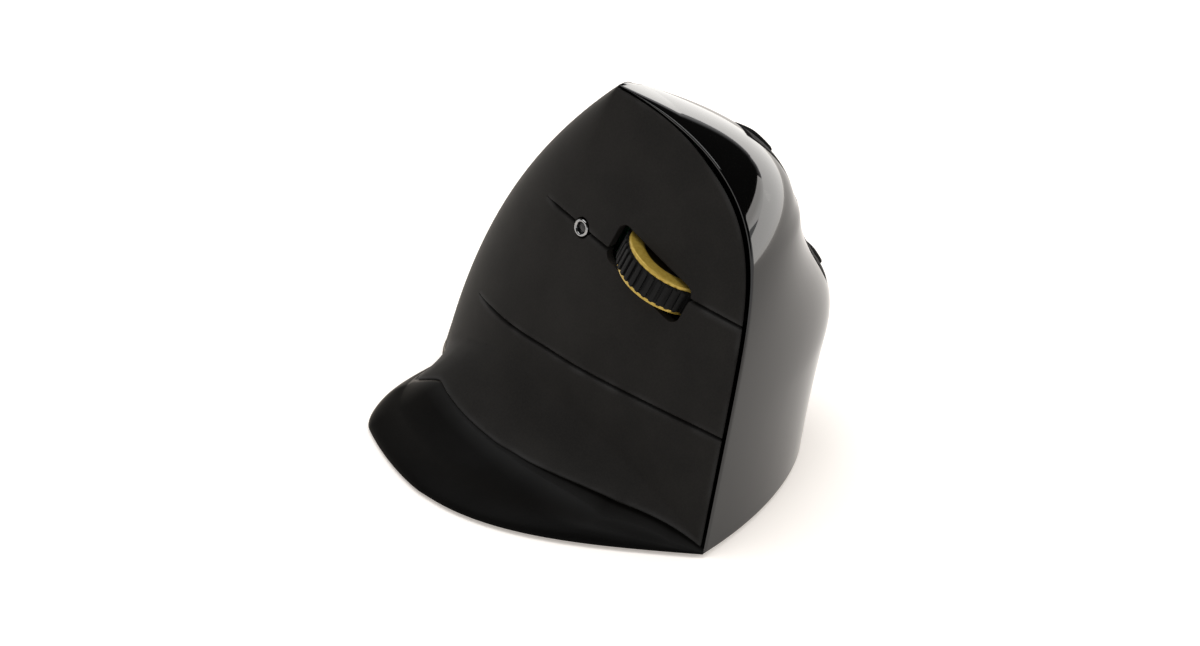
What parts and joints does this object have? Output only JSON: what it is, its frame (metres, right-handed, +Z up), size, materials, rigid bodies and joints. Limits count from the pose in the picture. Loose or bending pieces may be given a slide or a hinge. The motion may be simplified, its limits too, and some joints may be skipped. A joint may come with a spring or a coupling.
{
  "type": "vertical ergonomic mouse",
  "caption": "Upright right-hand computer mouse: leaning finger side with flexing buttons, ribbed scroll wheel on a gold hub, gloss thumb side and a flared lip under the hand.",
  "frame": {"origin": "on the desk, under the middle of the body's box", "axes": "+X towards the finger side and its lip, +Y towards the nose, +Z up"},
  "size_m": [0.0837, 0.094, 0.08],
  "materials": {
    "soft_black": "soft-touch satin",
    "lip_black": "fine satin",
    "gloss_graphite": "polished",
    "black_trim": "satin",
    "base_black": "fine grain",
    "glide": "slick",
    "cell_label": "wrapped",
    "spring_steel": "plated",
    "switch_black": "moulded",
    "knob_red": "moulded",
    "board_green": "solder mask",
    "clear_lens": "clear",
    "tyre_rubber": "ribbed",
    "gold_hub": "anodised",
    "bright_ring": "polished",
    "dark_lens": "smoked"
  },
  "bodies": {
    "body": {"base_plate": "base_black", "glide_feet": "glide", "battery_cell": "cell_label", "battery_spring": "spring_steel", "battery_plate": "spring_steel", "power_switch_body": "switch_black", "main_board": "board_green", "controller_chip": "switch_black", "motion_sensor": "switch_black", "sensor_lens": "clear_lens", "inner_frame": "base_black", "finger_board": "board_green", "finger_switches": "switch_black", "thumb_boards": "board_green", "thumb_switches": "switch_black", "lip_skirt": "lip_black", "palm_shell": "soft_black", "front_cover": "gloss_graphite", "groove_trim": "black_trim", "thumb_rest": "black_trim", "wheel_switch": "switch_black", "indicator_bezel": "bright_ring", "indicator_lens": "dark_lens", "case_screws": "spring_steel", "board_screws": "spring_steel"},
    "index_flap": {"index_button": "soft_black"},
    "middle_flap": {"middle_button": "soft_black"},
    "ring_flap": {"ring_button": "soft_black"},
    "wheel_cradle": {"wheel_carrier": "base_black", "wheel_encoder": "switch_black"},
    "wheel": {"wheel_tyre": "tyre_rubber", "wheel_hub": "gold_hub", "wheel_axle": "spring_steel"},
    "thumb_key_upper": {"thumb_button_upper": "black_trim"},
    "thumb_key_lower": {"thumb_button_lower": "black_trim"},
    "power_knob": {"power_switch_knob": "knob_red"},
    "door": {"battery_door": "base_black"}
  },
  "joints": [
    {"name": "index_press", "type": "hinge", "parent": "body", "child": "index_flap", "pos_m": [-0.0048, -0.0097, 0.065], "axis": [-0.299, 0, 0.9542], "range_deg": [0, 0.9], "stiffness_Nm_per_rad": 1.6},
    {"name": "middle_press", "type": "hinge", "parent": "body", "child": "middle_flap", "pos_m": [0.0018, -0.0223, 0.0368], "axis": [-0.299, 0, 0.9542], "range_deg": [0, 0.75], "stiffness_Nm_per_rad": 1.6},
    {"name": "ring_press", "type": "hinge", "parent": "body", "child": "ring_flap", "pos_m": [0.0136, -0.018, 0.014], "axis": [-0.299, 0, 0.9542], "range_deg": [0, 0.8], "stiffness_Nm_per_rad": 1.6},
    {"name": "wheel_press", "type": "slide", "parent": "body", "child": "wheel_cradle", "axis": [-0.9542, 0, -0.299], "range_m": [0, 0.0006], "stiffness_N_per_m": 1400},
    {"name": "wheel_spin", "type": "hinge", "parent": "wheel_cradle", "child": "wheel", "pos_m": [-0.00423, 0.0178, 0.04716], "axis": [-0.286, 0.2924, 0.9125], "continuous": true},
    {"name": "thumb_press_upper", "type": "slide", "parent": "body", "child": "thumb_key_upper", "axis": [0.8637, 0.2605, -0.4314], "range_m": [0, 0.0006], "stiffness_N_per_m": 1200},
    {"name": "thumb_press_lower", "type": "slide", "parent": "body", "child": "thumb_key_lower", "axis": [0.831, 0.0464, -0.5544], "range_m": [0, 0.0006], "stiffness_N_per_m": 1200},
    {"name": "power_slide", "type": "slide", "parent": "body", "child": "power_knob", "axis": [1, 0, 0], "range_m": [0, 0.002]},
    {"name": "door_lift", "type": "slide", "parent": "body", "child": "door", "axis": [0, 0, -1], "range_m": [0, 0.03]}
  ]
}
